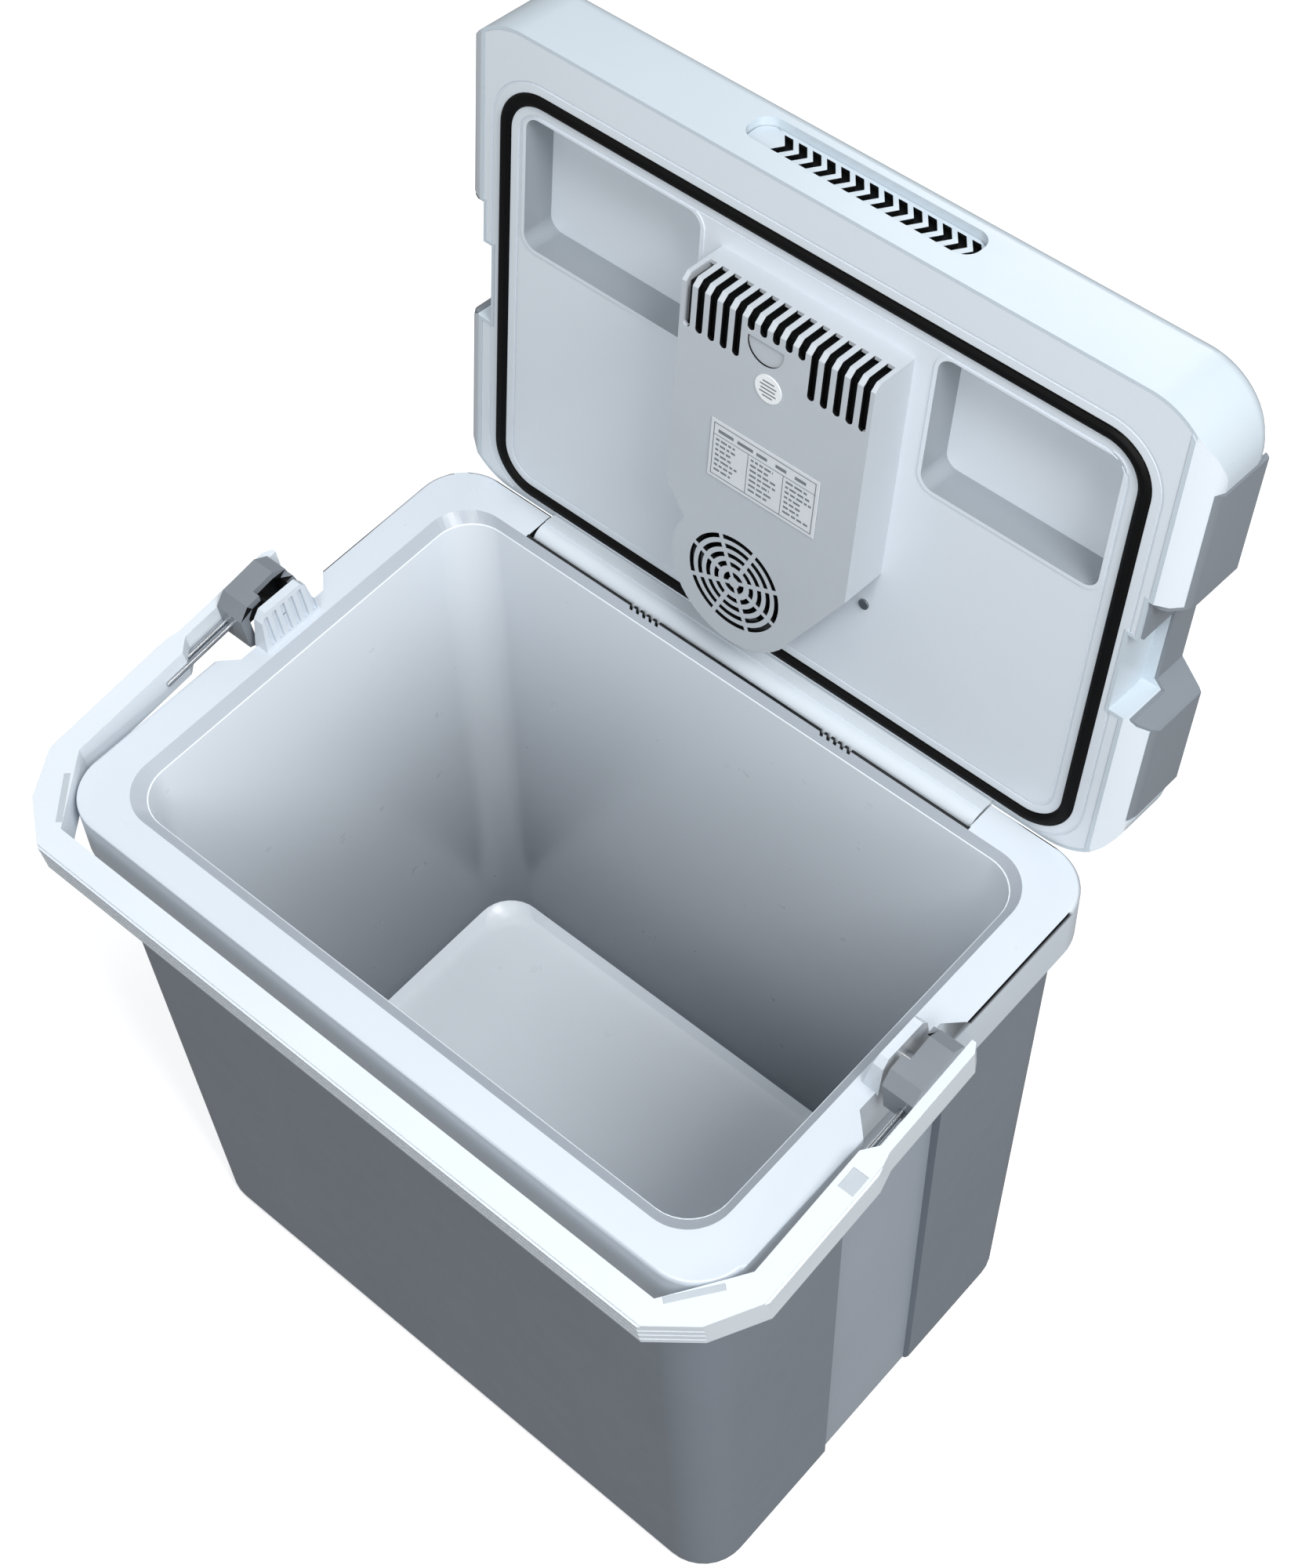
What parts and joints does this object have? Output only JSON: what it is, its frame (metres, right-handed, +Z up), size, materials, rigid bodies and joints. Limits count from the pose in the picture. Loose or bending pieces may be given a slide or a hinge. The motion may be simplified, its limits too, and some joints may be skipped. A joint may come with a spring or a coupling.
{
  "type": "thermoelectric cool box",
  "caption": "Portable thermoelectric cool box with an insulated tub, a hinged lid that carries the cooling unit, and a folding carry handle.",
  "frame": {"origin": "on the floor under the middle of the cabinet, on the flat bottom face", "axes": "+X to the right seen from the front, +Y to the back where the hinge is, +Z up; at rest the lid stands open at its stop and the handle lies folded to the front"},
  "size_m": [0.488, 0.4222, 0.7067],
  "materials": {
    "pale_shell": "fine satin",
    "cabinet_grey": "fine leather grain",
    "liner_grey": "smooth satin",
    "panel_grey": "satin",
    "side_grey": "matt",
    "knuckle_grey": "matt",
    "black_rubber": "matt",
    "black_plastic": "matt",
    "steel": "satin",
    "aluminium": "extruded",
    "foam": "rigid insulating foam",
    "ceramic": "matt",
    "circuit_board": "lacquered",
    "label": "printed foil with no wording",
    "switch_white": "gloss",
    "green_lens": "translucent"
  },
  "bodies": {
    "cabinet": {"outer_cabinet": "cabinet_grey", "body_foam": "foam", "liner": "liner_grey", "rim_frame": "pale_shell", "rubber_feet": "black_rubber", "rim_screws": "steel", "hinge_pins": "steel", "pivot_pin_left": "steel", "pivot_pin_right": "steel"},
    "handle": {"handle_bail": "pale_shell", "handle_rods_left": "steel", "handle_rods_right": "steel", "knuckle_left": "knuckle_grey", "knuckle_right": "knuckle_grey", "corner_insert_left": "side_grey", "corner_insert_right": "side_grey", "grip_marker": "side_grey", "knuckle_screws": "steel"},
    "lid": {"lid_shell": "pale_shell", "lid_inner_panel": "panel_grey", "lid_foam": "foam", "lid_gasket": "black_rubber", "lid_side_panel_left": "side_grey", "lid_side_panel_right": "side_grey", "hinge_barrel": "pale_shell", "front_vent": "pale_shell", "top_grille": "pale_shell", "unit_cover": "panel_grey", "rating_plate": "label", "round_sticker": "label", "cover_screw": "steel", "unit_chassis": "panel_grey", "cold_sink": "aluminium", "spacer_block": "aluminium", "peltier_module": "ceramic", "module_seal": "black_rubber", "hot_sink": "aluminium", "sink_screws": "steel", "fan_motor": "steel", "control_board": "circuit_board", "transformer": "black_plastic", "dc_inlet": "black_plastic", "mains_inlet": "black_plastic", "switch_bezel": "black_plastic", "indicator_light": "green_lens"},
    "fan_rotor": {"motor_shaft": "steel", "inner_impeller": "black_plastic", "outer_impeller": "black_plastic"},
    "rocker": {"mode_switch": "switch_white"}
  },
  "joints": [
    {"name": "lid_hinge", "type": "hinge", "parent": "cabinet", "child": "lid", "pos_m": [0, 0.1445, 0.4065], "axis": [1, 0, 0], "range_deg": [0, 97.5]},
    {"name": "handle_swing", "type": "hinge", "parent": "cabinet", "child": "handle", "pos_m": [0, 0.004, 0.424], "axis": [-1, 0, 0], "range_deg": [0, 90]},
    {"name": "fan_spin", "type": "hinge", "parent": "lid", "child": "fan_rotor", "pos_m": [-0.004, 0.17464, 0.48221], "axis": [0, 0.9914, -0.1305], "continuous": true},
    {"name": "mode_rocker", "type": "hinge", "parent": "lid", "child": "rocker", "pos_m": [0.122, 0.23659, 0.6425], "axis": [0, -0.1305, -0.9914], "range_deg": [0, 14]}
  ]
}
